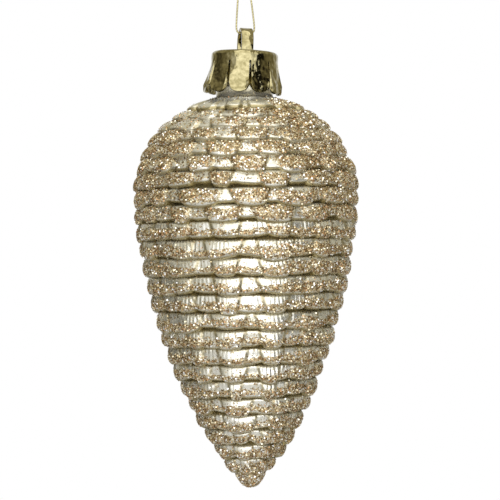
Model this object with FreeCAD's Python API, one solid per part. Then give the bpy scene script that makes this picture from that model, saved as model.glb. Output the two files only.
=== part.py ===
import FreeCAD
import Part

import math
import os
from collections import namedtuple

# Hanging pine cone ornament in moulded plastic.
# One hollow shell carries all the scales and ends in a plain neck. A metallised cap
# with a crown of sprung petals is pressed over the neck, and a fine thread runs
# through the cap's eye and is knotted into a loop.
# Millimetres, +Z up, the front of the ornament faces -Y. The origin is the top of the
# thread loop, the point that hangs on a twig or a hook. Each piece is drawn about the
# neck seat, the face where the neck leaves the shell, and moved down at the end.

V = FreeCAD.Vector
UP = V(0, 0, 1)

# Outline over the tips of the scales, by depth below the neck seat
body_height = 117.8
widest_radius = 34.4
widest_depth = 29.0
shoulder_fullness = 0.43
taper_power = 1.65
taper_fullness = 0.70

# Rows of scales
upper_rows = 9
lower_rows = 15
first_rim_depth = 4.0
last_rim_to_tip = 5.0
upper_step_share = 0.92
groove_depth = 2.7
step_lean = 1.5
groove_overlap = 1.3
step_overlap = 0.4
shell_wall = 1.2
front_column_deg = -11.5

# A scale's width as a share of its pitch, how far it is raised above the ledge behind
# it, and how far down the row that ledge reaches. The neck row is a ring of low pads,
# the upper rows are staggered tongues, and the lower rows are raised tongues in columns.
# Between each two is a low flat scale, which is the ledge itself.
ScaleStyle = namedtuple("ScaleStyle", "width_share raised ledge_share")
neck_style = ScaleStyle(width_share=0.66, raised=0.6, ledge_share=0.88)
upper_style = ScaleStyle(width_share=0.70, raised=0.9, ledge_share=0.85)
lower_style = ScaleStyle(width_share=0.56, raised=0.85, ledge_share=0.88)
neck_pad_pitch = 9.4
upper_pitch = 15.4
columns = 13
tip_columns = 8
tip_rows_radius = 18.0
ledge_facet_share = 0.52
scale_end_facets = 3
turn_variation_deg = 1.2
length_variation = 0.45

# Bud that closes the tip
bud_facets = 10
bud_radius = 4.6
bud_shoulder_radius = 3.4
bud_shoulder_height = 2.0
bud_tip_radius = 1.0

# Smooth cavity behind the scales
cavity_bands = 6
cavity_facets = 20

# Cap: its plain band grips the neck, and its petals stand off it
cap_radius = 10.0
cap_height = 13.1
cap_wall = 1.0
cap_edge = 1.2
cap_flare = 1.2
cap_tilt_deg = 2.75
cap_clearance = 0.15
petals = 10
facets_per_petal = 4
petal_length = 9.3
petal_tip_height = 0.6
petal_gap = 0.6
petal_corner = 2.0
first_slit_deg = 10.0

# Neck
neck_wall = 1.3

# Eye of the cap: a moulded band bent into an arch
eye_height = 7.3
eye_depth = 8.0
eye_band_width = 3.6
eye_band_thickness = 1.1
eye_turn_deg = 11.0

# Thread and its knot. The route runs from the knot through the eye and back, in the
# upright plane of the eye's axis. Its points are (across, up) from the underside of
# the eye's crown, and the loop's height is from there to the knot.
thread_diameter = 0.5
thread_sides = 8
loop_height = 27.7
thread_route = [
    (-0.98, 27.67),
    (-1.45, 18.20),
    (-2.30, 8.70),
    (-2.75, 3.10),
    (-2.85, 0.60),
    (-2.15, -0.57),
    (2.05, -0.57),
    (2.75, 0.60),
    (2.55, 3.10),
    (1.95, 8.70),
    (0.60, 18.20),
    (-0.34, 27.67),
]
knot_radius = 1.0
knot_foot_radius = 0.7
knot_length = 2.4
knot_facets = 14
knot_tail_length = 3.2
knot_tail_lean_deg = 22.0

cap_tilt = math.radians(cap_tilt_deg)
ceiling_height = cap_height - cap_wall
neck_height = ceiling_height - cap_clearance - cap_radius * math.tan(cap_tilt)
neck_radius = cap_radius - cap_wall - cap_clearance - 0.5 * neck_height * math.tan(cap_tilt)
eye_turn = math.radians(eye_turn_deg)
cap_pivot = V(0, 0, 0.5 * neck_height)
crown_arm = cap_height + eye_height - eye_band_thickness - cap_pivot.z
eye_crown = cap_pivot + V(crown_arm * math.sin(cap_tilt), 0, crown_arm * math.cos(cap_tilt))
hang_height = eye_crown.z + loop_height


def outline_radius(depth):
    """Radius over the scale tips at a depth below the neck seat."""
    if depth <= widest_depth:
        rise = 1 - depth / widest_depth
        return widest_radius * (1 - rise**2) ** shoulder_fullness
    fall = (depth - widest_depth) / (body_height - widest_depth)
    return widest_radius * max(0.0, 1 - fall**taper_power) ** taper_fullness


def moved(point, direction, distance):
    return (point[0] + distance * direction[0], point[1] + distance * direction[1])


def direction_to(start, end):
    size = math.dist(start, end)
    return ((end[0] - start[0]) / size, (end[1] - start[1]) / size)


def outward_of(direction):
    """The outward normal of a line that runs down the cone."""
    return (-direction[1], direction[0])


def step_of(direction):
    """The way out along the step under a rim, leaned from the normal towards level."""
    out = outward_of(direction)
    return direction_to((0, 0), (out[0] + step_lean, out[1]))


def row_lines():
    """The line down each row of scales, from the groove above it to its rim."""
    samples = 600
    step = (body_height - last_rim_to_tip - first_rim_depth) / samples
    depths = [first_rim_depth + i * step for i in range(samples + 1)]
    outline = [(outline_radius(depth), -depth) for depth in depths]
    run = [0.0]
    for a, b in zip(outline, outline[1:]):
        run.append(run[-1] + math.dist(a, b))
    shares = [upper_step_share] * (upper_rows - 1) + [1.0] * lower_rows
    lines = []
    groove = (neck_radius, 0.0)
    for row in range(upper_rows + lower_rows):
        wanted = run[-1] * sum(shares[:row]) / sum(shares)
        i = min(range(len(run)), key=lambda n: abs(run[n] - wanted))
        slope = direction_to(outline[max(i - 1, 0)], outline[min(i + 1, samples)])
        lines.append((groove, outline[i]))
        groove = moved(outline[i], step_of(slope), -groove_depth)
    return lines


def style_of(row):
    if row == 0:
        return neck_style
    return upper_style if row < upper_rows else lower_style


def variation(row, scale):
    """A repeatable number from -1 to 1, so that no two scales are quite alike."""
    value = math.sin(12.9898 * (row + 1) + 78.233 * (scale + 1)) * 43758.5453
    return 2 * (value - math.floor(value)) - 1


def scales_round(row, radius):
    """How many scales stand round a row with this rim radius."""
    if style_of(row) is lower_style:
        return columns if radius > tip_rows_radius else tip_columns
    pitch = neck_pad_pitch if row == 0 else upper_pitch
    return round(2 * math.pi * radius / pitch)


def face_through(points):
    return Part.Face(Part.makePolygon(points + points[:1]))


def faceted_tier(stations, angles):
    """A solid of flat facets: rings of corners at these angles, one for each station."""
    rings = [[V(r * math.sin(a), -r * math.cos(a), z) for a in angles] for r, z in stations]
    faces = [face_through(rings[0]), face_through(rings[-1])]
    for upper, lower in zip(rings, rings[1:]):
        for i in range(len(angles)):
            j = (i + 1) % len(angles)
            faces.append(face_through([upper[i], upper[j], lower[j], lower[i]]))
    return Part.makeSolid(Part.makeShell(faces))


def scale(root, fall, length, root_width, rim_width, depth, angle):
    """One scale: a tongue with a rounded end, lying down the row's slope."""
    step = step_of(fall)
    half = 0.5 * rim_width
    bend = min(half, 0.55 * length)
    outline = [(-0.5 * root_width, 0), (0.5 * root_width, 0)]
    for i in range(scale_end_facets + 1):
        around = math.pi * i / scale_end_facets
        outline.append((half * math.cos(around), length - bend + bend * math.sin(around)))
    across = V(math.cos(angle), math.sin(angle), 0)
    outward = V(math.sin(angle), -math.cos(angle), 0)
    down = outward * fall[0] + UP * fall[1]
    inward = outward * -step[0] - UP * step[1]
    start = outward * root[0] + UP * root[1]
    face = face_through([start + across * u + down * v for u, v in outline])
    return face.extrude(inward * depth)


def scale_row(row, lines):
    """A row of scales on a faceted ledge, as deep as the groove under its rim.

    Returns the row's solid and the foot of its ledge, which lies inside the next row.
    """
    groove, rim = lines[row]
    style = style_of(row)
    fall = direction_to(groove, rim)
    out = outward_of(fall)
    tuck = 0.0
    if row > 0:
        overhang = (1 - style_of(row - 1).ledge_share) * math.dist(*lines[row - 1])
        tuck = overhang + groove_overlap
    root = moved(groove, fall, -tuck)

    count = scales_round(row, rim[0])
    turn = 2 * math.pi / count
    in_columns = style is lower_style
    stagger = 0.0 if in_columns else 0.5 * turn * (row % 2)
    centres = [math.radians(front_column_deg) + stagger + i * turn for i in range(count)]
    facet_turn = ledge_facet_share * turn if in_columns else turn
    sides = (-1, 1) if in_columns else (1,)
    corners = [a + side * 0.5 * facet_turn for a in centres for side in sides]

    ledge_root = moved(root, out, -style.raised)
    ledge_rim = moved(groove, fall, style.ledge_share * math.dist(groove, rim))
    ledge_rim = moved(ledge_rim, out, -style.raised)
    ledge_foot = moved(ledge_rim, step_of(fall), -groove_depth - step_overlap)
    corner_share = 1 / math.cos(0.5 * facet_turn)
    stations = [(corner_share * r, z) for r, z in (ledge_root, ledge_rim, ledge_foot)]
    ledge = faceted_tier(stations, corners)

    width = style.width_share * turn
    depth = style.raised + groove_depth + step_overlap
    scales = []
    for i, centre in enumerate(centres):
        length = math.dist(root, rim) + length_variation * variation(row, i)
        angle = centre + math.radians(turn_variation_deg) * variation(i, row)
        scales.append(scale(root, fall, length, width * root[0], width * rim[0], depth, angle))
    return ledge.multiFuse(scales), ledge_foot


def tip_bud(rim):
    """The closed bud under the last row."""
    angles = [2 * math.pi * i / bud_facets for i in range(bud_facets)]
    stations = [
        (bud_radius, rim[1] + groove_depth),
        (bud_radius, rim[1]),
        (bud_shoulder_radius, -body_height + bud_shoulder_height),
        (bud_tip_radius, -body_height),
    ]
    return faceted_tier(stations, angles)


def cavity(feet):
    """The smooth hollow behind the scales, one wall inside the feet of the ledges."""
    last = len(feet) - 2
    chosen = [feet[round(last * i / cavity_bands)] for i in range(cavity_bands + 1)]
    stations = [moved(chosen[0], (0, -1), shell_wall)]
    stations += [(r - shell_wall, z) for r, z in chosen[1:]]
    angles = [2 * math.pi * i / cavity_facets for i in range(cavity_facets)]
    return faceted_tier(stations, angles)


def cone_body():
    lines = row_lines()
    made = [scale_row(row, lines) for row in range(len(lines))]
    neck = Part.makeCylinder(neck_radius, neck_height + groove_depth, V(0, 0, -groove_depth))
    shell = neck.multiFuse([row for row, foot in made] + [tip_bud(lines[-1][1])])
    hollow = cavity([foot for row, foot in made])
    bore = Part.makeCylinder(neck_radius - neck_wall, 2 * neck_height, V(0, 0, -neck_height))
    return shell.cut([hollow, bore])


def slit():
    """The cutter between two petals, which also rounds their lower corners."""
    half = 0.5 * petal_gap
    foot = half + petal_corner
    top = petal_tip_height + petal_length
    side = [
        (foot, petal_tip_height - 1.0),
        (foot, petal_tip_height),
        (half + 0.3 * petal_corner, petal_tip_height + 0.3 * petal_corner),
        (half, petal_tip_height + petal_corner),
        (half, top),
    ]
    outline = side + [(-x, z) for x, z in reversed(side)]
    inner = cap_radius - 2 * cap_wall
    face = face_through([V(x, -inner, z) for x, z in outline])
    return face.extrude(V(0, -2 * cap_wall - 2 * cap_flare, 0))


def arch_outline(half_width, height):
    """An upright arch on the cap, as a face across the eye's axis."""
    foot = cap_height - 0.5 * cap_wall
    spring = cap_height + height - half_width
    return Part.Face(Part.Wire([
        Part.LineSegment(V(0, -half_width, foot), V(0, -half_width, spring)).toShape(),
        Part.Arc(V(0, -half_width, spring), V(0, 0, spring + half_width), V(0, half_width, spring)).toShape(),
        Part.LineSegment(V(0, half_width, spring), V(0, half_width, foot)).toShape(),
        Part.LineSegment(V(0, half_width, foot), V(0, -half_width, foot)).toShape(),
    ]))


def cap_eye():
    """The band that the thread passes under, moulded on the cap."""
    outside = arch_outline(0.5 * eye_depth, eye_height)
    inside = arch_outline(0.5 * eye_depth - eye_band_thickness, eye_height - eye_band_thickness)
    band = outside.cut(inside).extrude(V(eye_band_width, 0, 0))
    band.translate(V(-0.5 * eye_band_width, 0, 0))
    band.rotate(V(), UP, eye_turn_deg)
    return band


def cap():
    """Top, skirt of petals and eye, moulded in one and pushed on a little askew."""
    count = petals * facets_per_petal
    angles = [math.radians(first_slit_deg) + 2 * math.pi * i / count for i in range(count)]
    band_foot = petal_tip_height + petal_length
    outer = faceted_tier([
        (cap_radius - cap_edge, cap_height),
        (cap_radius - 0.3 * cap_edge, cap_height - 0.3 * cap_edge),
        (cap_radius, cap_height - cap_edge),
        (cap_radius, band_foot),
        (cap_radius + cap_flare, petal_tip_height),
    ], angles)
    inner = faceted_tier([
        (cap_radius - cap_wall, ceiling_height),
        (cap_radius - cap_wall, band_foot),
        (cap_radius + cap_flare - cap_wall, petal_tip_height),
    ], angles)
    slits = []
    for i in range(petals):
        cutter = slit()
        cutter.rotate(V(), UP, first_slit_deg + i * 360 / petals)
        slits.append(cutter)
    whole = outer.cut([inner] + slits).fuse(cap_eye())
    whole.rotate(cap_pivot, V(0, 1, 0), cap_tilt_deg)
    return whole


def hanging_thread():
    """A fine tube on straight runs joined by arcs as large as the runs allow."""
    along = V(math.cos(eye_turn), math.sin(eye_turn), 0)
    points = [eye_crown + along * u + UP * w for u, w in thread_route]
    edges, radii, start = [], [], points[0]
    for before, corner, after in zip(points, points[1:], points[2:]):
        back, on = (before - corner).normalize(), (after - corner).normalize()
        half_turn = 0.5 * (math.pi - back.getAngle(on))
        reach = 0.45 * min((before - corner).Length, (after - corner).Length)
        radii.append(reach / math.tan(half_turn))
        middle = corner + (back + on).normalize() * (radii[-1] * (1 / math.cos(half_turn) - 1))
        edges.append(Part.LineSegment(start, corner + back * reach).toShape())
        edges.append(Part.Arc(corner + back * reach, middle, corner + on * reach).toShape())
        start = corner + on * reach
    edges.append(Part.LineSegment(start, points[-1]).toShape())
    path = Part.Wire(edges)
    first_run = (points[1] - points[0]).normalize()
    normal = V(-math.sin(eye_turn), math.cos(eye_turn), 0)
    side = first_run.cross(normal)
    corners = []
    for i in range(thread_sides):
        around = 2 * math.pi * (i + 0.5) / thread_sides
        spoke = normal * math.cos(around) + side * math.sin(around)
        corners.append(points[0] + spoke * 0.5 * thread_diameter)
    tube = path.makePipeShell([Part.makePolygon(corners + corners[:1])], True, False)
    section = 0.5 * thread_sides * (0.5 * thread_diameter) ** 2 * math.sin(2 * math.pi / thread_sides)
    print("thread length", round(path.Length, 2), "arc radii", [round(radius, 2) for radius in radii])
    print("thread volume", round(tube.Volume, 3), "section by length", round(section * path.Length, 3))
    return tube


def thread_knot():
    """The knot that closes the loop, with its two trimmed ends."""
    angles = [2 * math.pi * i / knot_facets for i in range(knot_facets)]
    knot = faceted_tier([
        (knot_foot_radius, 0),
        (knot_radius, 0.3 * knot_length),
        (knot_radius, 0.7 * knot_length),
        (knot_foot_radius, knot_length),
    ], angles)
    lean = math.radians(knot_tail_lean_deg)
    tails = [
        Part.makeCylinder(
            0.5 * thread_diameter,
            0.5 * knot_length + knot_tail_length,
            V(0, 0, 0.5 * knot_length),
            V(side * math.sin(lean), 0.3 * side * math.sin(lean), math.cos(lean)),
        )
        for side in (-1, 1)
    ]
    return knot.multiFuse(tails)


def main():
    drop = V(0, 0, -hang_height)
    pieces = {"cone_body": cone_body(), "cap": cap(), "hanging_thread": hanging_thread()}
    for shape in pieces.values():
        shape.translate(drop)
    pieces["thread_knot"] = thread_knot()
    os.makedirs("parts", exist_ok=True)
    for name, shape in pieces.items():
        shape.exportStep(f"parts/{name}.step")
        state = "valid" if shape.isValid() else "not valid"
        print(name, state, len(shape.Solids), "solid", round(shape.Volume, 2), "mm3")


if __name__ == "__main__":
    main()
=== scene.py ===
# %% [markdown]
# # A hanging pine cone ornament
# The real thing is a hollow cone moulded in plastic, sprayed with a pearl silver lacquer
# and dusted with coarse glitter along the rims of its scales. A metallised plastic cap
# grips its neck, and a fine gold thread through the cap's eye makes the loop to hang it by.
# This notebook builds each of those pieces in turn. It starts by loading the measured
# solids as a fixed frame, so that every piece we make has a real place and size to fit.

import math

import bmesh
import bpy
from mathutils import Matrix, Vector, noise


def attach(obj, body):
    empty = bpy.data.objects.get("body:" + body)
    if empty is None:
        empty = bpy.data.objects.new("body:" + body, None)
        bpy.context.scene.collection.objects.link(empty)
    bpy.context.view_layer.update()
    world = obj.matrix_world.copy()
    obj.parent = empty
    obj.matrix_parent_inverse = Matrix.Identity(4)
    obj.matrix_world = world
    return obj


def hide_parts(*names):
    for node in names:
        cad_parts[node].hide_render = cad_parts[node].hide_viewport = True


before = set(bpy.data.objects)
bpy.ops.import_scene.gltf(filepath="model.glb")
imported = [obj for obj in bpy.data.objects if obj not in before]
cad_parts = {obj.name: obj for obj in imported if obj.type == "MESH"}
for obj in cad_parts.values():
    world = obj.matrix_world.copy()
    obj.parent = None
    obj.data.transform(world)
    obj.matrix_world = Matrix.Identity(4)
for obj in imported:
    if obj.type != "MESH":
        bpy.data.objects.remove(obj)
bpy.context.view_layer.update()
MM = 0.001
print("solids:", sorted(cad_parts))

# %% [markdown]
# ## Camera
# The ornament was photographed with a long lens, level with its middle, so a narrow view
# from well back gives the same flat perspective. The cone hangs straight down in our
# frame, and the picture of it leans by just under a degree, so the camera is rolled and
# not the cone.

# %% Camera
neck_seat_height = -46.984 * MM
picture_width = 150.0 * MM
camera_distance = 570.0 * MM
camera_height = neck_seat_height - 46.2 * MM
camera_aside = 0.93 * MM
camera_roll_deg = 0.9


def place_object(name, data):
    """An object for this camera, lamp, mesh or curve, in the scene and at the origin."""
    made = bpy.data.objects.new(name, data)
    bpy.context.collection.objects.link(made)
    return made


camera_data = bpy.data.cameras.new("camera")
camera = place_object("camera", camera_data)
camera_data.angle = 2 * math.atan(0.5 * picture_width / camera_distance)
camera.location = (camera_aside, -camera_distance, camera_height)
camera.rotation_euler = (math.radians(90), math.radians(camera_roll_deg), 0)
bpy.context.scene.camera = camera
bpy.context.scene.view_settings.view_transform = "Standard"
print("lens", round(camera_data.lens, 1), "mm")

# %% [markdown]
# ## Helpers for colours and nodes
# Colours are written as sRGB hex values, as a paint maker would give them, but shaders
# work in linear light. One function converts them, and another adds a node to a tree with
# its settings, links and colour stops, because almost every material below is a handful of
# nodes with a few links.


# %% Helpers for colours and nodes
def linear(hex_colour):
    """An sRGB hex colour as linear red, green, blue and an alpha of one."""
    channels = [int(hex_colour[i:i + 2], 16) / 255 for i in (1, 3, 5)]
    return [c / 12.92 if c <= 0.04045 else ((c + 0.055) / 1.055) ** 2.4 for c in channels] + [1.0]


def add_node(tree, kind, inputs=None, stops=(), **settings):
    """Adds a node with its settings and links.

    An input is a plain value or the output socket of another node. A colour ramp, which
    starts with two elements, takes its (position, hex colour) stops.
    """
    node = tree.nodes.new(kind)
    for name, value in settings.items():
        setattr(node, name, value)
    for key, value in (inputs or {}).items():
        if isinstance(value, bpy.types.NodeSocket):
            tree.links.new(value, node.inputs[key])
        else:
            node.inputs[key].default_value = value
    for number, (position, colour) in enumerate(stops):
        elements = node.color_ramp.elements
        element = elements[number] if number < 2 else elements.new(position)
        element.position = position
        element.color = linear(colour)
    return node


def new_material(name):
    """An empty material with its output node, and its tree."""
    material = bpy.data.materials.new(name)
    material.use_nodes = True
    tree = material.node_tree
    tree.nodes.clear()
    return material, tree


print("middle grey is", round(linear("#808080")[0], 3), "in linear light")

# %% [markdown]
# ## Studio
# The photograph has a white background, a broad soft light in front and dark sides, which
# is what gives the silver lacquer its white fronts and khaki flanks, and the mirror of the
# cap its black and cream stripes. A wide soft panel in front makes the highlights, and a
# dim even world fills the rest. What a mirror finds in the world depends on where it
# looks, from behind the ornament round by the left, the front and the right: white, khaki,
# dark, khaki, white in front, a narrow black flag on the right, and khaki to white again.
# Higher up the room is an even pale khaki, so that a level face shows no black.

# %% What the room shows
room_light = 0.34
level_until = 0.30
high_from = 0.55

world = bpy.data.worlds.new("studio")
bpy.context.scene.world = world
world.use_nodes = True
world_tree = world.node_tree
world_tree.nodes.clear()
rays = add_node(world_tree, "ShaderNodeLightPath").outputs
where = add_node(world_tree, "ShaderNodeTexCoord").outputs["Generated"]
axes = add_node(world_tree, "ShaderNodeSeparateXYZ", {0: where}).outputs
nearer = add_node(world_tree, "ShaderNodeMath", {0: axes["Y"], 1: -1.0}, operation="MULTIPLY")
aside = add_node(
    world_tree, "ShaderNodeMath", {0: axes["X"], 1: nearer.outputs[0]}, operation="ARCTAN2"
)
share_of_turn = add_node(
    world_tree, "ShaderNodeMath", {0: aside.outputs[0], 1: 0.5 / math.pi, 2: 0.5},
    operation="MULTIPLY_ADD",
)
round_us = add_node(world_tree, "ShaderNodeValToRGB", {"Fac": share_of_turn.outputs[0]}, stops=[
    (0.05, "#FFFFFF"), (0.12, "#B0A888"), (0.20, "#4E493A"), (0.28, "#807A60"),
    (0.34, "#BDB7A0"), (0.385, "#FDFCFA"), (0.57, "#FDFCFA"), (0.60, "#14130F"),
    (0.66, "#26241C"), (0.70, "#868066"), (0.84, "#B0A888"), (0.93, "#FFFFFF"),
])
high_up = add_node(
    world_tree, "ShaderNodeMapRange",
    {"Value": axes["Z"], "From Min": level_until, "From Max": high_from},
)
found = add_node(
    world_tree, "ShaderNodeMix",
    {"Factor": high_up.outputs["Result"], "A": round_us.outputs["Color"], "B": linear("#C4BDA0")},
    data_type="RGBA",
)
mirrored = add_node(
    world_tree, "ShaderNodeMath",
    {0: rays["Is Glossy Ray"], 1: rays["Is Transmission Ray"]}, operation="MAXIMUM",
)
room = add_node(
    world_tree, "ShaderNodeBackground", {"Color": linear("#F2F0EA"), "Strength": room_light}
)
reflected = add_node(
    world_tree, "ShaderNodeBackground", {"Color": found.outputs["Result"], "Strength": 1.0}
)
white = add_node(world_tree, "ShaderNodeBackground", {"Color": (1, 1, 1, 1), "Strength": 1.0})
lit = add_node(
    world_tree, "ShaderNodeMixShader",
    {0: mirrored.outputs[0], 1: room.outputs[0], 2: reflected.outputs[0]},
)
shown = add_node(
    world_tree, "ShaderNodeMixShader",
    {0: rays["Is Camera Ray"], 1: lit.outputs[0], 2: white.outputs[0]},
)
add_node(world_tree, "ShaderNodeOutputWorld", {"Surface": shown.outputs[0]})
print("the room lights the ornament at", room_light)


# %% Lamps
def soft_panel(name, place, target, width, height, power):
    """A rectangular softbox that faces the target."""
    data = bpy.data.lights.new(name, "AREA")
    data.shape = "RECTANGLE"
    data.size = width
    data.size_y = height
    data.energy = power
    panel = place_object(name, data)
    panel.location = place
    panel.rotation_euler = (Vector(target) - Vector(place)).to_track_quat("-Z", "Y").to_euler()
    print(name, width, "by", height, "m")


middle = (0, 0, camera_height)
soft_panel(
    "front_panel", place=(0.08, -1.0, camera_height + 0.25), target=middle,
    width=1.45, height=1.9, power=12.0,
)
soft_panel(
    "top_panel", place=(0.0, -0.25, 0.75), target=middle,
    width=0.7, height=0.5, power=2.0,
)

# %% Floor
floor_height = -340 * MM
floor_radius = 1.2
glow_share = 0.85

floor_mesh = bmesh.new()
bmesh.ops.create_circle(floor_mesh, cap_ends=True, segments=96, radius=floor_radius)
bmesh.ops.translate(floor_mesh, verts=floor_mesh.verts, vec=(0, 0, floor_height))
floor_data = bpy.data.meshes.new("floor")
floor_mesh.to_mesh(floor_data)
floor_mesh.free()
floor = place_object("floor", floor_data)
floor_paper, paper_tree = new_material("white_paper")
paper = add_node(
    paper_tree, "ShaderNodeBsdfPrincipled", {"Base Color": linear("#F4F3F0"), "Roughness": 0.8}
)
paper_rays = add_node(paper_tree, "ShaderNodeLightPath").outputs
seen_share = add_node(
    paper_tree, "ShaderNodeMath", {0: paper_rays["Is Camera Ray"], 1: glow_share},
    operation="MULTIPLY",
)
glow = add_node(paper_tree, "ShaderNodeEmission", {"Color": (1, 1, 1, 1), "Strength": 1.0})
pale = add_node(
    paper_tree, "ShaderNodeMixShader",
    {0: seen_share.outputs[0], 1: paper.outputs[0], 2: glow.outputs[0]},
)
add_node(paper_tree, "ShaderNodeOutputMaterial", {"Surface": pale.outputs[0]})
floor_data.materials.append(floor_paper)
print("the floor lies", round((camera_height - floor_height) / MM), "mm under the camera")

# %% [markdown]
# ## The outline and its rows
# A pine cone's outline is a full shoulder and a long taper. Two power curves draw it, and
# 24 rows of scales share out its length. Each row runs down from the groove under the
# rim above it to a rim of its own, so a row is known by two points in a half section.

# %% The outline and its rows
body_height = 117.8 * MM
widest_radius = 34.4 * MM
widest_depth = 29.0 * MM
shoulder_fullness = 0.43
taper_power = 1.65
taper_fullness = 0.70
upper_rows = 9
lower_rows = 15
first_rim_depth = 4.0 * MM
last_rim_to_tip = 5.0 * MM
upper_step_share = 0.92
groove_depth = 2.7 * MM
step_lean = 1.5
groove_overlap = 1.3 * MM
step_overlap = 0.4 * MM
neck_radius = 8.574 * MM
neck_height = 11.47 * MM
neck_wall = 1.3 * MM


def outline_radius(depth):
    """Radius over the rims at a depth below the neck seat."""
    if depth <= widest_depth:
        rise = 1 - depth / widest_depth
        return widest_radius * (1 - rise**2) ** shoulder_fullness
    fall = (depth - widest_depth) / (body_height - widest_depth)
    return widest_radius * max(0.0, 1 - fall**taper_power) ** taper_fullness


def outward_of(direction):
    """The outward normal of a line that runs down the cone."""
    return Vector((-direction.y, direction.x))


def step_of(direction):
    """The way out along the step under a rim, leaned from the normal towards level."""
    out = outward_of(direction)
    return Vector((out.x + step_lean, out.y)).normalized()


def row_lines():
    """For each row, its groove and its rim as (radius, height) points."""
    samples = 600
    step = (body_height - last_rim_to_tip - first_rim_depth) / samples
    depths = [first_rim_depth + i * step for i in range(samples + 1)]
    outline = [Vector((outline_radius(d), neck_seat_height - d)) for d in depths]
    run = [0.0]
    for a, b in zip(outline, outline[1:]):
        run.append(run[-1] + (b - a).length)
    shares = [upper_step_share] * (upper_rows - 1) + [1.0] * lower_rows
    lines = []
    groove = Vector((neck_radius, neck_seat_height))
    for row in range(upper_rows + lower_rows):
        wanted = run[-1] * sum(shares[:row]) / sum(shares)
        i = min(range(len(run)), key=lambda n: abs(run[n] - wanted))
        slope = (outline[min(i + 1, samples)] - outline[max(i - 1, 0)]).normalized()
        lines.append((groove, outline[i]))
        groove = outline[i] - groove_depth * step_of(slope)
    return lines


rows = row_lines()
print(len(rows), "rows, the widest", round(max(rim.x for _, rim in rows) / MM, 1), "mm in radius")

# %% [markdown]
# ## Kinds of scale
# Round the neck lies a ring of low bare pads. The upper rows are fat tongues, each row
# staggered by half a scale. From the widest part down, the tongues stand one above the
# other in columns. Between each two tongues lies a low flat scale. Each kind is a set of
# named numbers, so that one function can mould them all.

# %% Kinds of scale
neck_pads = dict(width=0.80, reach=0.84, corner=2.6, crown=0.10 * MM, pillow=0.15 * MM)
upper_tongues = dict(width=0.70, reach=0.71, corner=2.1, crown=0.45 * MM, pillow=0.04 * MM)
lower_tongues = dict(width=0.58, reach=0.82, corner=2.0, crown=0.20 * MM, pillow=0.20 * MM)
neck_pad_pitch = 9.4 * MM
upper_pitch = 15.4 * MM
columns = 13
tip_columns = 8
tip_rows_radius = 18.0 * MM
front_column_deg = -11.5
turn_variation_deg = 1.8
width_variation = 0.36
length_variation = 0.55 * MM
hang_slope = 0.62
rim_sway = 1.25 * MM
sway_waves = 2.6


def kind_of(row):
    """The kind of tongue that stands in a row."""
    if row == 0:
        return neck_pads
    return upper_tongues if row < upper_rows else lower_tongues


def scales_round(row):
    """How many scales stand round a row."""
    radius = rows[row][1].x
    if kind_of(row) is lower_tongues:
        return columns if radius > tip_rows_radius else tip_columns
    pitch = neck_pad_pitch if row == 0 else upper_pitch
    return round(2 * math.pi * radius / pitch)


def variation(row, scale):
    """A repeatable number from -1 to 1, so that no two scales are quite alike."""
    value = math.sin(12.9898 * (row + 1) + 78.233 * (scale + 1)) * 43758.5453
    return 2 * (value - math.floor(value)) - 1


def smooth_step(low, high, value):
    """Rises smoothly from 0 at the low value to 1 at the high one."""
    t = min(1.0, max(0.0, (value - low) / (high - low)))
    return t * t * (3 - 2 * t)


print("scales round each row:", [scales_round(row) for row in range(len(rows))])

# %% [markdown]
# ## Section of a row
# Seen in section, a tongue starts deep in the groove, swells into a round bead where the
# glitter sits, and rolls over into a bare lip with a step behind it. The low scale beside
# it has the same form, flatter. The section is a short list of points: the share of the
# way down the row, the tongue's height and the low scale's height, both in millimetres
# over the straight line from groove to rim. The points are close together where the form
# turns and far apart where it is flat.

# %% Section of a row
lower_section = [
    (0.00, 0.00, 0.00), (0.05, 0.44, 0.36), (0.12, 0.70, 0.42), (0.20, 0.80, 0.36),
    (0.35, 0.78, 0.14), (0.50, 0.66, -0.10), (0.60, 0.60, -0.18), (0.68, 0.49, -0.22),
    (0.76, 0.31, -0.30), (0.84, 0.03, -0.46), (0.90, -0.28, -0.68), (0.95, -0.68, -1.02),
    (0.985, -1.20, -1.46), (1.00, -1.75, -1.90),
]
upper_section = [
    (0.00, -0.40, -0.30), (0.08, 0.38, 0.12), (0.18, 0.74, 0.12), (0.30, 0.88, 0.06),
    (0.43, 0.86, -0.04), (0.57, 0.70, -0.14), (0.69, 0.48, -0.28), (0.79, 0.12, -0.42),
    (0.87, -0.26, -0.62), (0.93, -0.66, -0.92), (0.975, -1.14, -1.36), (1.00, -1.70, -1.90),
]
neck_section = [
    (0.00, -0.20, -0.30), (0.25, 0.05, -0.08), (0.45, 0.24, -0.02), (0.62, 0.32, -0.14),
    (0.76, 0.28, -0.34), (0.86, 0.08, -0.58), (0.93, -0.30, -0.85), (0.98, -0.90, -1.20),
    (1.00, -1.45, -1.55),
]
under_depth = groove_depth + step_overlap
overhang_begins = 0.5 * MM


def section_of(row):
    """The section points of a row."""
    if row == 0:
        return neck_section
    return upper_section if row < upper_rows else lower_section


def tuck_of(row):
    """How far a row goes on above its groove, hidden under the row before."""
    if row == 0:
        return 0.0
    groove, rim = rows[row - 1]
    return (1 - kind_of(row - 1)["reach"]) * (rim - groove).length + groove_overlap


def low_scale_drop(row, share):
    """How far the low scale lies under the tongue at a share of the row."""
    points = [(place, (tongue - low) * MM) for place, tongue, low in section_of(row)]
    for (a, first), (b, second) in zip(points, points[1:]):
        if share <= b:
            return first + (second - first) * max(0.0, (share - a) / (b - a))
    return points[-1][1]


print("the second row goes on", round(tuck_of(1) / MM, 1), "mm under the first")

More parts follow.
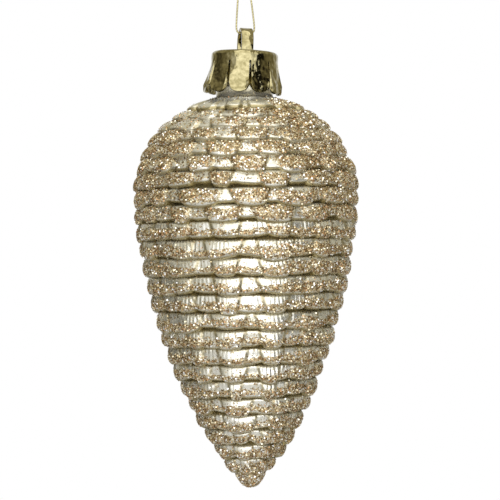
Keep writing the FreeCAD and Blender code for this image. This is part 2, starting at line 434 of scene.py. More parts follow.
# %% [markdown]
# ## Moulding one row
# A lathe-turned ring is the quickest start: `spin` sweeps the closed section round the
# axis. Then every point of the ring is moved as a sculptor would push it. Between two
# tongues the rim draws back and sinks, the tongue's corners round off, and fine flutes
# fan over the flat part. A real mould is never quite even, so a little noise presses in.
# Two attributes are painted on the surface as well: where glitter was glued, and a painted
# shade, in the grooves, along the lips and beside the tongues.

# %% Where a point lies on its row
def ring_place(point):
    """The angle round the cone, 0 at the front, and the (radius, height) of a point."""
    return math.atan2(point.x, -point.y), Vector((math.hypot(point.x, point.y), point.z))


def row_frame(row):
    """The groove, the way down, the way out and the length of a row, in its half section."""
    groove, rim = rows[row]
    down = (rim - groove).normalized()
    return groove, down, outward_of(down), (rim - groove).length


def scale_at(row, angle):
    """The scale at this angle: its number, the place across it from -1 to 1, and its turn."""
    count = scales_round(row)
    turn = 2 * math.pi / count
    stagger = 0.5 * turn * (row % 2) if kind_of(row) is not lower_tongues else 0.0
    first = math.radians(front_column_deg) + stagger
    number = round((angle - first) / turn)
    across = 2 * ((angle - first) / turn - number)
    shift = math.radians(turn_variation_deg) * variation(number % count, row) / (0.5 * turn)
    return number % count, across - shift * (1 - across**2), turn


print("the longest row is", round(max(row_frame(row)[3] for row in range(len(rows))) / MM, 1), "mm")

# %% Flutes
flute_pitch = 1.45 * MM
flute_height = 0.30 * MM
flute_draw = 7
calm_front = 0.25
calm_share = 0.35


def flute(row, number, across, angle, share, inside, turn):
    """Height of the fine flutes, which fan out down the flat part of a scale."""
    from_middle = across if inside > 0.5 else abs(across) - 1
    arc = from_middle * 0.5 * turn * rows[row][1].x
    fan = 0.72 + 0.40 * max(0.0, share)
    strength = 0.70 + 0.45 * variation(row + flute_draw, number)
    if abs(angle - math.radians(front_column_deg)) < calm_front:
        strength *= calm_share
    there = smooth_step(-0.25, 0.05, share) * (1 - smooth_step(0.50, 0.62, share))
    return flute_height * strength * there * math.cos(2 * math.pi * arc / (flute_pitch * fan))


print("flutes", flute_pitch / MM, "mm apart")

# %% Moulding a point
tongue_edge = 0.07
tongue_edge_room = 0.05
width_at_groove = 1.15
width_lost_to_rim = 0.34
widest_share = 1.02
width_draw = 3
low_rim_bow = 0.05
crown_power = 2.5
sway_drift = 0.9
slope_inner = 0.03
slope_outer = 0.12


def mould(row, angle, along, out):
    """Moves one point of a plain ring to its place on the moulded row.

    Returns the new (along, out), 1 on a tongue or 0 on the low scale beside it, and 1 on
    the slope between the two.
    """
    kind = kind_of(row)
    length = row_frame(row)[3]
    number, across, turn = scale_at(row, angle)
    share = along / length
    down_share = min(1.0, max(0.0, share))

    own_width = kind["width"] * (1 + width_variation * variation(row + width_draw, number))
    width = min(widest_share, own_width * (width_at_groove - width_lost_to_rim * down_share))
    inside = 1 - smooth_step(width - tongue_edge, width + tongue_edge, abs(across))
    rounded = max(0.0, 1 - min(1.0, abs(across) / (width + tongue_edge_room)) ** kind["corner"])
    rounded = rounded ** (1 / kind["corner"])

    round_place = sway_waves * Vector((math.sin(angle), math.cos(angle), 0))
    sway = rim_sway * noise.noise(round_place + Vector((0, 0, sway_drift * row)))
    own_length = 1 + (length_variation * variation(row, number) + sway) / length
    beside = min(1.0, (1 - abs(across)) / (1 - 0.9 * kind["width"]))
    reach = kind["reach"] + sway / length + low_rim_bow * (1 - beside**4)
    reach += (own_length - reach) * inside * rounded

    lift = -hang_slope * max(0.0, reach - 1) * max(0.0, along)
    lift -= low_scale_drop(row, share) * (1 - inside)
    lift -= kind["crown"] * inside * min(1.0, abs(across) / width) ** crown_power
    arch = math.sin(math.pi * down_share)
    lift += kind["pillow"] * inside * arch * max(0.0, 1 - (across / width) ** 2)
    if kind is lower_tongues:
        lift += flute(row, number, across, angle, share, inside, turn)
    surface = smooth_step(-under_depth, -0.5 * under_depth, out)
    slope = 1 - smooth_step(slope_inner, slope_outer, abs(abs(across) - width))
    return (along * reach if along > 0 else along), out + lift * surface, inside, slope


middle_row = upper_rows + lower_rows // 2
stands_out = mould(middle_row, angle=0, along=2 * MM, out=0)[1]
print("in front, row", middle_row, "stands", round(stands_out / MM, 2), "mm out")

# %% [markdown]
# ## Where the glitter lies
# Glue was dabbed along the rims of the scales and the grains stuck to it, so they sit on
# the beads, thin out up the scale and leave the lips bare. The right side was dusted all
# over, and the left shoulder hardly at all. Two sizes of noise make the cover patchy.

# %% Where the glitter lies
patch_size = 11 * MM
small_patch_size = 3.5 * MM
bare_lip_share = 0.83
lip_softness = 0.06
neck_specks = 0.03
window_specks = 0.05
bare_shoulder_rows = 3
tip_fill_rows = (16, 21)


def glitter_cover(row, share, inside, angle, place):
    """How thickly the glitter lies, from 0 to 1."""
    patch = noise.noise(place * (1 / patch_size))
    small_patch = noise.noise(place * (1 / small_patch_size))
    right = smooth_step(0.28, 0.62, math.sin(angle) + 0.15 * patch)
    left = smooth_step(0.40, 0.80, -math.sin(angle) + 0.15 * patch)
    flank = max(right, left)
    edge = bare_lip_share + 0.05 * flank + 0.06 * small_patch
    lip = 1 - smooth_step(edge, edge + lip_softness, share)
    if row == 0:
        return lip * max(neck_specks, 0.8 * right * smooth_step(0.3, 0.6, share))
    if row < upper_rows:
        begins = 0.20 - 0.20 * patch - 0.14 * flank
        band = smooth_step(begins - 0.05, begins + 0.08, share)
        beside = 0.24 + 0.25 * patch + 0.70 * max(right, 0.6 * left)
        cover = band * (beside + (0.95 - beside) * inside)
        if row < bare_shoulder_rows:
            cover *= 1 - 0.75 * smooth_step(0.15, 0.45, -math.sin(angle))
    else:
        begins = 0.56 - 0.22 * patch - 0.06 * inside - 0.14 * max(right, 0.7 * left)
        begins -= 0.16 * smooth_step(*tip_fill_rows, row)
        band = smooth_step(begins - 0.06, begins + 0.08, share)
        cover = band * (0.92 + 0.08 * flank) + window_specks + 0.05 * flank
    return min(1.0, max(0.0, lip * (cover + 0.30 * cover * small_patch)))


print("patches of glitter are", round(patch_size / MM), "and", small_patch_size / MM, "mm in size")

# %% Spinning and moulding a ring
upper_column_width = 0.60 * MM
lower_column_width = 0.44 * MM
fewest_columns = 24
lip_begins = 0.9
step_foot = 0.72
surface_depth = 0.6 * under_depth
# Painted shade on the slopes beside the tongues, which turn away from the light.
shade_beside_tongues = 0.85
unevenness = 0.20 * MM
noise_grain = 9.0 * MM


def spun_ring(row, column_width):
    """The plain ring of a row, as turned on a lathe."""
    groove, down, outward, length = row_frame(row)
    step = step_of(down)
    lean = step.dot(down) / step.dot(outward)
    tuck = tuck_of(row)
    section = [(-tuck, -under_depth), (-tuck, section_of(row)[0][2] * MM)]
    section += [(share * length, height * MM) for share, height, _ in section_of(row)]
    section += [(length, -step_foot * under_depth), (length, -under_depth)]
    bm = bmesh.new()
    corners = []
    for along, out in section:
        if along > lip_begins * length:
            along -= lean * max(0.0, -out - overhang_begins)
        place = groove + along * down + out * outward
        corners.append(bm.verts.new((0, -place.x, place.y)))
    loop = [bm.edges.new(ends) for ends in zip(corners, corners[1:] + corners[:1])]
    bmesh.ops.spin(
        bm, geom=loop, axis=(0, 0, 1), angle=2 * math.pi, use_merge=True,
        steps=max(fewest_columns, round(2 * math.pi * rows[row][1].x / column_width)),
    )
    bmesh.ops.recalc_face_normals(bm, faces=bm.faces)
    return bm


def moulded_ring(row, column_width):
    """A ring with its scales moulded in, and its glitter and varnish painted on."""
    bm = spun_ring(row, column_width)
    cover_layer = bm.verts.layers.float.new("glitter_cover")
    shade_layer = bm.verts.layers.float.new("painted_shade")
    groove, down, outward, length = row_frame(row)
    for vert in bm.verts:
        angle, place = ring_place(vert.co)
        offset = place - groove
        along, out = offset.dot(down), offset.dot(outward)
        new_along, new_out, inside, slope = mould(row, angle, along, out)
        new_out += unevenness * (noise.noise(vert.co * (1 / noise_grain)) - 1)
        if out > -surface_depth and along > 0:
            share = along / length
            vert[cover_layer] = glitter_cover(row, share, inside, angle, vert.co)
            # Painted shade: full in the groove, along the lip, on the slopes beside the tongues and on
            # the hidden walls.
            shade_mask = max(1 - smooth_step(0.0, 0.10, share), smooth_step(0.86, 0.93, share))
            vert[shade_layer] = max(shade_mask, shade_beside_tongues * slope)
        else:
            vert[shade_layer] = 1.0
        place = groove + new_along * down + new_out * outward
        vert.co = (place.x * math.sin(angle), -place.x * math.cos(angle), place.y)
    return bm


print("the lower rings have columns of faces", lower_column_width / MM, "mm wide")

# %% [markdown]
# ## Neck and tip
# The neck is a plain tube that the cap grips, and the tip is a small closed bud. Both are
# turned from a short section, like the rows.

# %% Neck and tip
bud_section = [(4.6, 2.7), (4.6, 0.4), (4.3, -0.9), (3.5, -2.3), (2.3, -3.7), (1.1, -4.4)]
bud_tip_inset = 0.4 * MM
bud_unevenness = 0.25 * MM
bud_noise_grain = 2.5 * MM
bud_cover = 0.92
bud_columns = 40
neck_columns = 64
neck_lip = 0.3 * MM


def turned(section, steps, closed):
    """Spins (radius, height) points round the axis. An open section starts on the axis."""
    bm = bmesh.new()
    corners = [bm.verts.new((0, -radius, height)) for radius, height in section]
    ends = corners[1:] + corners[:1] if closed else corners[1:]
    loop = [bm.edges.new(pair) for pair in zip(corners, ends)]
    bmesh.ops.spin(
        bm, geom=loop, axis=(0, 0, 1), angle=2 * math.pi, steps=steps, use_merge=True
    )
    bmesh.ops.remove_doubles(bm, verts=bm.verts, dist=0.001 * MM)
    bmesh.ops.recalc_face_normals(bm, faces=bm.faces)
    return bm


def neck():
    """The tube under the cap, with a softened lip."""
    bottom = neck_seat_height - groove_depth
    top = neck_seat_height + neck_height
    inside = neck_radius - neck_wall
    return turned(
        [(neck_radius, bottom), (neck_radius, top - neck_lip), (neck_radius - neck_lip, top),
         (inside + neck_lip, top), (inside, top - neck_lip), (inside, bottom)],
        neck_columns, closed=True,
    )


def tip_bud():
    """The small closed bud under the last row, covered with glitter."""
    rim = rows[-1][1]
    tip = neck_seat_height - body_height + bud_tip_inset
    section = [(0, rim.y + groove_depth)]
    section += [(radius * MM, rim.y + height * MM) for radius, height in bud_section]
    section += [(0, tip)]
    bm = turned(section, bud_columns, closed=False)
    cover_layer = bm.verts.layers.float.new("glitter_cover")
    for vert in bm.verts:
        vert[cover_layer] = bud_cover
        bump = noise.noise(vert.co * (1 / bud_noise_grain))
        vert.co += vert.co.normalized() * bud_unevenness * bump
    return bm


print("the bud is", round(2 * bud_section[0][0], 1), "mm across")


# %% [markdown]
# ## Joining the rings into one shell
# The rings lie inside each other where they meet, as the layers of a moulding do, so they
# are simply gathered. There are four meshes, from the shoulder to the tip, which keeps
# each of them light, and the rows with fine flutes get narrower columns of faces. Spin
# leaves its faces in another order in each run, and the scatter of the glitter follows
# that order, so each part is sorted first and every run strews the same grains.


# %% Joining the rings into one shell
def triangle_count(mesh):
    """How many triangles the faces of a mesh make."""
    return sum(len(face.vertices) - 2 for face in mesh.polygons)


def put_in_order(bm):
    """Sorts points by place, and edges and faces by their points."""
    by_place = sorted(bm.verts, key=lambda vert: vert.co[:])
    rank = {vert: number for number, vert in enumerate(by_place)}
    bm.verts.sort(key=rank.get)
    bm.verts.index_update()
    for items in (bm.edges, bm.faces):
        by_points = sorted(items, key=lambda item: sorted(vert.index for vert in item.verts))
        rank = {item: number for number, item in enumerate(by_points)}
        items.sort(key=rank.get)


def gathered(name, parts):
    """One object from several bmesh parts, smooth all over."""
    mesh = bpy.data.meshes.new(name)
    whole = bmesh.new()
    for part in parts:
        one = bpy.data.meshes.new("part")
        put_in_order(part)
        part.to_mesh(one)
        part.free()
        whole.from_mesh(one)
        bpy.data.meshes.remove(one)
    for face in whole.faces:
        face.smooth = True
    whole.to_mesh(mesh)
    whole.free()
    print(name, triangle_count(mesh), "triangles")
    return place_object(name, mesh)


all_rows = upper_rows + lower_rows
zones = {"shoulder": (0, 5), "widest": (5, 9), "middle": (9, 14), "tip": (14, all_rows)}
shells = {}
for zone, (first_row, end_row) in zones.items():
    column_width = upper_column_width if end_row <= upper_rows else lower_column_width
    rings = [moulded_ring(row, column_width) for row in range(first_row, end_row)]
    if zone == "shoulder":
        rings.append(neck())
    if zone == "tip":
        rings.append(tip_bud())
    shells[zone] = gathered(zone + "_scales", rings)
    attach(shells[zone], "root")
    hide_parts("cone_body")

# %% [markdown]
# ## Pearl lacquer on moulded plastic
# The cone is moulded polystyrene sprayed with a pearl silver lacquer: fine metal and
# mica flakes in a clear binder. To the eye it is a soft metal, bright where it faces the
# light and olive grey where it does not, with the gloss of the clear binder on top. The
# grooves, the lips and the slopes beside the tongues get a painted shade of khaki. The glue
# and fine dust under the glitter are drawn in the same material, by the painted cover, so
# that no bare silver shows between the grains.

# %% Pearl lacquer on moulded plastic
grain_size = 0.5 * MM
cloud_size = 6.0 * MM
peel_size = 0.9 * MM


def pearl_lacquer():
    """Metal flakes in a clear binder, with painted shade and the dust of the glitter."""
    material, tree = new_material("pearl_lacquer")
    place = add_node(tree, "ShaderNodeTexCoord").outputs["Object"]
    cover = add_node(tree, "ShaderNodeAttribute", attribute_name="glitter_cover").outputs["Fac"]
    dust = add_node(
        tree, "ShaderNodeTexVoronoi", {"Vector": place, "Scale": 1 / grain_size}, feature="F1"
    )
    shades = add_node(tree, "ShaderNodeSeparateColor", {0: dust.outputs["Color"]})
    dust_colour = add_node(tree, "ShaderNodeValToRGB", {"Fac": shades.outputs[0]}, stops=[
        (0.0, "#6E5A3A"), (0.3, "#98805A"), (0.55, "#BAA27A"), (0.8, "#D4C49E"), (1.0, "#F4EEDC"),
    ])
    chance = add_node(
        tree, "ShaderNodeMath", {0: cover, 1: shades.outputs[1]}, operation="SUBTRACT"
    )
    dusted = add_node(
        tree, "ShaderNodeMapRange", {"Value": chance.outputs[0], "From Min": -0.05, "From Max": 0.05}
    ).outputs["Result"]
    clouds = add_node(
        tree, "ShaderNodeTexNoise", {"Vector": place, "Scale": 1 / cloud_size, "Detail": 2.0}
    )
    silver = add_node(
        tree, "ShaderNodeValToRGB", {"Fac": clouds.outputs["Fac"]},
        stops=[(0.3, "#E0DED2"), (0.7, "#F0EFE8")],
    )
    # Painted shade: the khaki #A3976F darkens the grooves, lips and slopes beside the tongues.
    shade_mask = add_node(tree, "ShaderNodeAttribute", attribute_name="painted_shade").outputs["Fac"]
    with_shade = add_node(
        tree, "ShaderNodeMix",
        {"Factor": shade_mask, "A": silver.outputs["Color"], "B": linear("#A3976F")},
        data_type="RGBA",
    )
    colour = add_node(
        tree, "ShaderNodeMix",
        {"Factor": dusted, "A": with_shade.outputs["Result"], "B": dust_colour.outputs["Color"]},
        data_type="RGBA",
    )
    roughness = add_node(
        tree, "ShaderNodeMapRange",
        {"Value": dusted, "To Min": 0.24, "To Max": 0.42},
    )
    peel = add_node(
        tree, "ShaderNodeTexNoise", {"Vector": place, "Scale": 1 / peel_size, "Detail": 3.0}
    )
    grains = add_node(
        tree, "ShaderNodeMath", {0: dusted, 1: shades.outputs[2]}, operation="MULTIPLY"
    )
    height = add_node(
        tree, "ShaderNodeMath", {0: peel.outputs["Fac"], 1: 0.12, 2: grains.outputs[0]},
        operation="MULTIPLY_ADD",
    )
    bump = add_node(
        tree, "ShaderNodeBump", {"Strength": 0.5, "Distance": 0.25 * MM, "Height": height.outputs[0]}
    )
    paint = add_node(tree, "ShaderNodeBsdfPrincipled", {
        "Base Color": colour.outputs["Result"],
        "Metallic": 0.72,
        "Roughness": roughness.outputs["Result"],
        "IOR": 1.5,
        "Coat Weight": 0.25,
        "Coat Roughness": 0.12,
        "Normal": bump.outputs["Normal"],
    })
    add_node(tree, "ShaderNodeOutputMaterial", {"Surface": paint.outputs[0]})
    return material


lacquer = pearl_lacquer()
for shell in shells.values():
    shell.data.materials.append(lacquer)
print(lacquer.name, "with dust of", grain_size / MM, "mm")

# %% [markdown]
# ## Glitter grains
# Glitter is cut from metallised film, and this one is coarse, about half a millimetre. It
# is real geometry here: flat grains scattered where the cover was painted, each tilted
# its own way, so that one flashes white while its neighbour goes dark. A scatter made
# with geometry nodes places them, and the result is kept as a plain mesh.

# %% Glitter grains
grain_gap = 0.36 * MM
grain_radius = 0.27 * MM
grain_thickness = 0.26 * MM
grain_sides = 4
most_tilt = math.radians(42)


def glitter_grain():
    """One flat square grain. Its point is set in the glue, so it needs few faces."""
    bm = bmesh.new()
    bmesh.ops.create_cone(
        bm, cap_ends=True, segments=grain_sides, radius1=0, radius2=grain_radius,
        depth=grain_thickness,
    )
    bmesh.ops.remove_doubles(bm, verts=bm.verts, dist=0.001 * MM)
    bmesh.ops.recalc_face_normals(bm, faces=bm.faces)
    put_in_order(bm)
    mesh = bpy.data.meshes.new("grain")
    bm.to_mesh(mesh)
    bm.free()
    return place_object("grain", mesh)


def scatter_tree(grain, seed):
    """The nodes that strew tilted grains where the cover was painted."""
    tree = bpy.data.node_groups.new("scatter", "GeometryNodeTree")
    tree.interface.new_socket("Geometry", in_out="INPUT", socket_type="NodeSocketGeometry")
    tree.interface.new_socket("Geometry", in_out="OUTPUT", socket_type="NodeSocketGeometry")
    shell = add_node(tree, "NodeGroupInput")
    cover = add_node(tree, "GeometryNodeInputNamedAttribute", {"Name": "glitter_cover"})
    points = add_node(
        tree, "GeometryNodeDistributePointsOnFaces",
        {"Mesh": shell.outputs[0], "Distance Min": grain_gap, "Density Max": 4.0 / grain_gap**2,
         "Density Factor": cover.outputs["Attribute"], "Seed": seed},
        distribute_method="POISSON",
    )
    tilt = add_node(
        tree, "FunctionNodeRandomValue",
        {0: (-most_tilt, -most_tilt, 0), 1: (most_tilt, most_tilt, 2 * math.pi)},
        data_type="FLOAT_VECTOR",
    )
    turned_grain = add_node(
        tree, "FunctionNodeRotateRotation",
        {"Rotation": points.outputs["Rotation"], "Rotate By": tilt.outputs[0]},
        rotation_space="LOCAL",
    )
    grain_scale = add_node(tree, "FunctionNodeRandomValue", {2: 0.7, 3: 1.15}, data_type="FLOAT")
    model = add_node(tree, "GeometryNodeObjectInfo", {"Object": grain})
    placed = add_node(
        tree, "GeometryNodeInstanceOnPoints",
        {"Points": points.outputs["Points"], "Instance": model.outputs["Geometry"],
         "Rotation": turned_grain.outputs[0], "Scale": grain_scale.outputs[1]},
    )
    tone = add_node(tree, "FunctionNodeRandomValue", {2: 0.0, 3: 1.0}, data_type="FLOAT")
    toned = add_node(
        tree, "GeometryNodeStoreNamedAttribute",
        {"Geometry": placed.outputs[0], "Name": "tone", "Value": tone.outputs[1]},
        domain="INSTANCE",
    )
    real = add_node(tree, "GeometryNodeRealizeInstances", {0: toned.outputs[0]})
    add_node(tree, "NodeGroupOutput", {0: real.outputs[0]})
    return tree


def scatter(name, shell, seed):
    """Glitter on a shell, as a mesh of its own."""
    grain = glitter_grain()
    modifier = shell.modifiers.new("scatter", "NODES")
    modifier.node_group = scatter_tree(grain, seed)
    graph = bpy.context.evaluated_depsgraph_get()
    mesh = bpy.data.meshes.new_from_object(
        shell.evaluated_get(graph), preserve_all_data_layers=True, depsgraph=graph
    )
    mesh.name = name
    shell.modifiers.remove(modifier)
    bpy.data.objects.remove(grain)
    glitter = place_object(name, mesh)
    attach(glitter, "root")
    grains = len(mesh.polygons) // (grain_sides + 1)
    print(name, grains, "grains,", triangle_count(mesh), "triangles")
    return glitter


def cut_film():
    """Metallised polyester film, cut small. The colour differs from grain to grain."""
    material, tree = new_material("cut_film")
    tone = add_node(tree, "ShaderNodeAttribute", attribute_name="tone").outputs["Fac"]
    colour = add_node(tree, "ShaderNodeValToRGB", {"Fac": tone}, stops=[
        (0.0, "#6E5A3A"), (0.15, "#AA8A60"), (0.30, "#C49A72"), (0.42, "#CCBC96"),
        (0.62, "#E4DABC"), (0.78, "#F4F0E2"), (0.89, "#FFFFFF"),
    ])
    colour.color_ramp.interpolation = "CONSTANT"
    film = add_node(tree, "ShaderNodeBsdfPrincipled", {
        "Base Color": colour.outputs["Color"], "Metallic": 0.85, "Roughness": 0.20,
    })
    add_node(tree, "ShaderNodeOutputMaterial", {"Surface": film.outputs[0]})
    return material


film = cut_film()
for seed, (zone, shell) in enumerate(shells.items(), start=11):
    glitter = scatter(zone + "_glitter", shell, seed)
    glitter.data.materials.clear()
    glitter.data.materials.append(film)

# %% [markdown]
# ## The cap
# A crown cap is moulded in one piece: a flat top with a rounded edge, a short band, and a
# skirt of ten thin petals that spring over the neck. We turn the outside of the wall from
# a short profile, with eleven columns of faces to a petal, and delete every eleventh
# column of the skirt, which opens the slits. Then each petal is shaped by moving its
# points: the tip rounded, the sides drawn in, the face flattened and the foot flared.
# Solidify gives the wall inwards, and Bevel takes the sharpness off every edge.

# %% The cap's measures
cap_radius = 10.0 * MM
cap_height = 13.1 * MM
cap_wall = 1.0 * MM
cap_edge = 1.2 * MM
petal_length = 9.3 * MM
petal_tip_height = 0.6 * MM
petals = 10
columns_per_petal = 11
first_slit_deg = 10.0
tip_rounding = 2.4 * MM
tip_roundness = 2.3
petal_flattening = 0.6
petal_taper = 0.08
flare = 1.35 * MM
flare_variation = 0.30
flare_draw = 40
flare_power = 1.3
pushed_out_petal = -3
pushed_out_flare = 2.3 * MM
band_foot = petal_tip_height + petal_length
cap_tilt = math.radians(2.75)
cap_pivot = Vector((0, 0, 5.735 * MM))
print("the cap is", round(2 * cap_radius / MM), "mm across and", cap_height / MM, "mm high")


# %% The cap's skirt and top
def put_on_neck(bm):
    """Leans a piece of the cap as the cap leans, and lifts it to its place."""
    bmesh.ops.rotate(bm, verts=bm.verts, cent=cap_pivot, matrix=Matrix.Rotation(cap_tilt, 3, "Y"))
    bmesh.ops.translate(bm, verts=bm.verts, vec=(0, 0, neck_seat_height))


def shape_petal(point):
    """The place of one point of the plain skirt once its petal is shaped."""
    angle, place = ring_place(point)
    sector = 2 * math.pi / petals
    half_petal = 0.5 * sector * (1 - 1 / columns_per_petal)
    petal = math.floor((angle - math.radians(first_slit_deg)) / sector)
    middle = math.radians(first_slit_deg) + (petal + 0.5) * sector
    aside = angle - middle
    across = min(1.0, abs(aside) / half_petal)
    share = (band_foot - place.y) / petal_length
    rounding = tip_rounding * (1 - (1 - across**tip_roundness) ** (1 / tip_roundness))
    out = flare * (1 + flare_variation * variation(petal, flare_draw))
    if petal == pushed_out_petal:
        out = pushed_out_flare
    radius = cap_radius + out * share**flare_power
    chord = math.cos(half_petal) / math.cos(min(half_petal, abs(aside)))
    radius *= 1 + petal_flattening * share * (chord - 1)
    angle = middle + aside * (1 - petal_taper * share**2)
    height = band_foot - share * (petal_length - rounding)
    return Vector((radius * math.sin(angle), -radius * math.cos(angle), height))


def cap_skin():
    """The outside of the cap as one thin sheet, its slits open."""
    shoulder = cap_radius - cap_edge
    profile = [(0, cap_height), (0.6 * shoulder, cap_height), (shoulder, cap_height)]
    for quarter in (0.25, 0.5, 0.75, 1.0):
        bend = 0.5 * math.pi * quarter
        profile.append((
            shoulder + cap_edge * math.sin(bend), cap_height - cap_edge * (1 - math.cos(bend))
        ))
    for share in (0.0, 0.08, 0.20, 0.34, 0.48, 0.62, 0.74, 0.84, 0.92, 0.97, 1.0):
        profile.append((cap_radius, band_foot - share * petal_length))
    count = petals * columns_per_petal
    bm = turned(profile, count, closed=False)
    column_turn = 2 * math.pi / count
    first_slit = math.radians(first_slit_deg)
    start = first_slit - 0.5 * column_turn
    bmesh.ops.rotate(bm, verts=bm.verts, matrix=Matrix.Rotation(start, 3, "Z"))
    slits = []
    for face in bm.faces:
        middle = face.calc_center_median()
        column = round((ring_place(middle)[0] - first_slit) / column_turn)
        if middle.z < band_foot and column % columns_per_petal == 0:
            slits.append(face)
    bmesh.ops.delete(bm, geom=slits, context="FACES")
    for vert in bm.verts:
        if vert.co.z < band_foot - 0.01 * MM:
            vert.co = shape_petal(vert.co)
    put_on_neck(bm)
    return bm


# %% [markdown]
# ## The cap's eye
# The eye is a flat band bent into an arch, moulded on the top. A rectangle is extruded up
# one leg, spun half a turn over the top and extruded down the other leg, which is just how
# one would bend it.

# %% The cap's eye
eye_height = 7.3 * MM
eye_depth = 8.0 * MM
eye_band_width = 3.6 * MM
eye_band_thickness = 1.1 * MM
eye_turn = math.radians(11.0)
arch_steps = 20
soft_edge = 0.18 * MM


def cap_eye():
    """The band, grown up one leg, over the arch and down the other leg."""
    foot = cap_height - 0.5 * cap_wall
    spring = cap_height + eye_height - 0.5 * eye_depth
    leg = 0.5 * (eye_depth - eye_band_thickness)
    bm = bmesh.new()
    bmesh.ops.create_grid(bm, x_segments=1, y_segments=1, size=0.5)
    bmesh.ops.scale(bm, verts=bm.verts, vec=(eye_band_width, eye_band_thickness, 1))
    bmesh.ops.translate(bm, verts=bm.verts, vec=(0, -leg, foot))
    end = list(bm.faces)
    for bend, rise in ((0, spring - foot), (math.pi, 0), (0, foot - spring)):
        if bend:
            spun = bmesh.ops.spin(
                bm, geom=end, cent=(0, 0, spring), axis=(1, 0, 0), angle=-bend,
                steps=arch_steps,
            )
            end = [item for item in spun["geom_last"] if isinstance(item, bmesh.types.BMFace)]
        else:
            grown = bmesh.ops.extrude_face_region(bm, geom=end)["geom"]
            moved = [item for item in grown if isinstance(item, bmesh.types.BMVert)]
            bmesh.ops.translate(bm, verts=moved, vec=(0, 0, rise))
            end = [item for item in grown if isinstance(item, bmesh.types.BMFace)]
    bmesh.ops.recalc_face_normals(bm, faces=bm.faces)
    bmesh.ops.rotate(bm, verts=bm.verts, matrix=Matrix.Rotation(eye_turn, 3, "Z"))
    put_on_neck(bm)
    return bm


def soften(obj, width):
    """Rounds the sharp edges of a moulded piece."""
    bevel = obj.modifiers.new("soft edges", "BEVEL")
    bevel.width = width
    bevel.segments = 2
    bevel.limit_method = "ANGLE"
    bevel.angle_limit = math.radians(38)


cap_shell = gathered("cap_shell", [cap_skin()])
wall = cap_shell.modifiers.new("wall", "SOLIDIFY")
wall.thickness = cap_wall
wall.offset = -1
cap_band = gathered("cap_eye", [cap_eye()])
for piece in (cap_shell, cap_band):
    soften(piece, soft_edge)
    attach(piece, "root")
    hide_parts("cap")

# %% [markdown]
# ## Metallised plastic
# The cap is ABS with a thin film of aluminium evaporated on it in vacuum, under a tinted
# varnish: a true mirror of a pale olive gold. What the eye sees in it is the room, bent
# by the moulding's slight waves, so the waves matter more than the colour.

# %% Metallised plastic
wave_length = 2.6 * MM
rubbed_size = 1.2 * MM


def metallised_abs():
    """A mirror film under a tinted varnish, on a moulding with slight waves."""
    material, tree = new_material("metallised_abs")
    place = add_node(tree, "ShaderNodeTexCoord").outputs["Object"]
    waves = add_node(
        tree, "ShaderNodeTexNoise", {"Vector": place, "Scale": 1 / wave_length, "Detail": 1.5}
    )
    bump = add_node(tree, "ShaderNodeBump", {
        "Strength": 0.8, "Distance": 0.65 * MM, "Height": waves.outputs["Fac"],
    })
    rubbed = add_node(
        tree, "ShaderNodeTexNoise", {"Vector": place, "Scale": 1 / rubbed_size, "Detail": 3.0}
    )
    tint = add_node(
        tree, "ShaderNodeValToRGB", {"Fac": rubbed.outputs["Fac"]},
        stops=[(0.35, "#857D59"), (0.65, "#ABA27D")],
    )
    mirror = add_node(tree, "ShaderNodeBsdfPrincipled", {
        "Base Color": tint.outputs["Color"], "Metallic": 1.0, "Roughness": 0.10,
        "Normal": bump.outputs["Normal"],
    })
    add_node(tree, "ShaderNodeOutputMaterial", {"Surface": mirror.outputs[0]})
    return material


plating = metallised_abs()
for piece in (cap_shell, cap_band):
    piece.data.materials.append(plating)
print(plating.name, "with waves", wave_length / MM, "mm long")

# %% [markdown]
# ## The thread and its knot
# A fine metallic yarn passes under the arch of the eye, and both strands rise to the knot
# that closes the loop. The weight of the cone draws it tight, so it hardly bends except
# under the eye. The route is a short list of points in the upright plane of the eye, which
# a NURBS curve smooths. The knot is two strands that run up through three tight turns and
# end in two trimmed tails.

# %% The thread
thread_diameter = 0.5 * MM
point_radius = 0.0001
thread_route = [
    (-0.98, 27.67), (-1.45, 18.20), (-2.30, 8.70), (-2.75, 3.10), (-2.85, 0.60), (-2.15, -0.57),
    (2.05, -0.57), (2.75, 0.60), (2.55, 3.10), (1.95, 8.70), (0.60, 18.20), (-0.34, 27.67),
]
crown_arm = cap_height + eye_height - eye_band_thickness - cap_pivot.z
eye_crown = cap_pivot + crown_arm * Vector((math.sin(cap_tilt), 0, math.cos(cap_tilt)))
eye_crown.z += neck_seat_height
across_eye = Vector((math.cos(eye_turn), math.sin(eye_turn), 0))


def yarn(name, routes):
    """A curve of the thread's thickness along each route.

    The thickness is the bevel's depth by the radius of the points. The box of a curve is
    its points widened by that radius, in metres, so the radius is kept small.
    """
    curve = bpy.data.curves.new(name, "CURVE")
    curve.dimensions = "3D"
    curve.bevel_depth = 0.5 * thread_diameter / point_radius
    curve.bevel_resolution = 3
    curve.use_fill_caps = True
    for route in routes:
        spline = curve.splines.new("NURBS")
        spline.points.add(len(route) - 1)
        for point, place in zip(spline.points, route):
            point.co = (*place, 1)
            point.radius = point_radius
        spline.order_u = 3
        spline.use_endpoint_u = True
        spline.resolution_u = 8
    return place_object(name, curve)


up = Vector((0, 0, 1))
loop_points = [eye_crown + MM * (u * across_eye + w * up) for u, w in thread_route]
thread = yarn("thread_loop", [loop_points])
drawn = sum((b - a).length for a, b in zip(loop_points, loop_points[1:]))
print("the route of the thread is", round(drawn / MM, 1), "mm long")

# %% The knot
knot_turns = 3
knot_turn_radius = 0.60 * MM
knot_foot = 0.35 * MM
knot_top = 2.0 * MM
knot_steps_per_turn = 12
strand_rise = 0.3 * MM
strand_inside = Vector((0.10, 0.12, 1.2)) * MM
strand_collar = Vector((0.28, 0.10, 2.4)) * MM
tail_end = Vector((1.45, 0.42, 4.95)) * MM


def to_side(place, side):
    """A place beside the knot's axis, or its twin half a turn round."""
    return Vector((side * place.x, side * place.y, place.z))


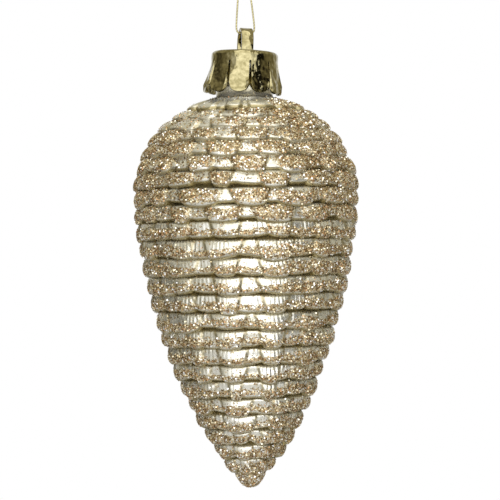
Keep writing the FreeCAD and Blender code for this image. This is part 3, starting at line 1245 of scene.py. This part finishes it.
def knot_routes():
    """The tight turns, and the two strands that run up through them."""
    steps = knot_steps_per_turn * knot_turns
    turns = []
    for i in range(steps + 1):
        angle = 2 * math.pi * knot_turns * i / steps
        height = knot_foot + (knot_top - knot_foot) * i / steps
        turns.append(Vector((
            knot_turn_radius * math.cos(angle), knot_turn_radius * math.sin(angle), height
        )))
    routes = [turns]
    for side, start in ((1, loop_points[0]), (-1, loop_points[-1])):
        inside = to_side(strand_inside, side)
        collar = to_side(strand_collar, side)
        end = to_side(tail_end, side)
        routes.append([start + strand_rise * up, inside, collar, 0.5 * (collar + end), end])
    return routes


knot = yarn("knot_of_thread", knot_routes())
for piece, node in ((thread, "hanging_thread"), (knot, "thread_knot")):
    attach(piece, "root")
    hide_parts(node)

# %% [markdown]
# ## Metallic yarn
# The thread is polyester wound with a flat strip of metallised film. The winding shows as
# fine slanting bands, bumped in and painted lighter as a painted highlight. The bands are drawn a
# little coarser than real, because the thread is only two pixels wide in the picture.

# %% Metallic yarn
strip_pitch = 0.7 * MM
band_of_wave = 2 * math.pi / 20


def metallic_yarn():
    """Film wound on polyester. The wave texture makes a band each 0.314 of its own length."""
    material, tree = new_material("metallic_yarn")
    place = add_node(tree, "ShaderNodeTexCoord").outputs["Object"]
    slanted = add_node(tree, "ShaderNodeMapping", {"Vector": place, "Rotation": (0, 0.6, 0)})
    bands = add_node(
        tree, "ShaderNodeTexWave", {"Vector": slanted.outputs[0], "Scale": band_of_wave / strip_pitch},
        wave_type="BANDS", bands_direction="Z",
    )
    # Painted highlight: the lighter #E6DFB0 on each band stands in for the strip catching the light.
    colour = add_node(
        tree, "ShaderNodeValToRGB", {"Fac": bands.outputs["Fac"]},
        stops=[(0.2, "#A0915C"), (0.7, "#E6DFB0")],
    )
    bump = add_node(tree, "ShaderNodeBump", {
        "Strength": 0.6, "Distance": 0.06 * MM, "Height": bands.outputs["Fac"],
    })
    strip = add_node(tree, "ShaderNodeBsdfPrincipled", {
        "Base Color": colour.outputs["Color"], "Metallic": 0.7, "Roughness": 0.32,
        "Normal": bump.outputs["Normal"],
    })
    add_node(tree, "ShaderNodeOutputMaterial", {"Surface": strip.outputs[0]})
    return material


gold_yarn = metallic_yarn()
for piece in (thread, knot):
    piece.data.materials.append(gold_yarn)
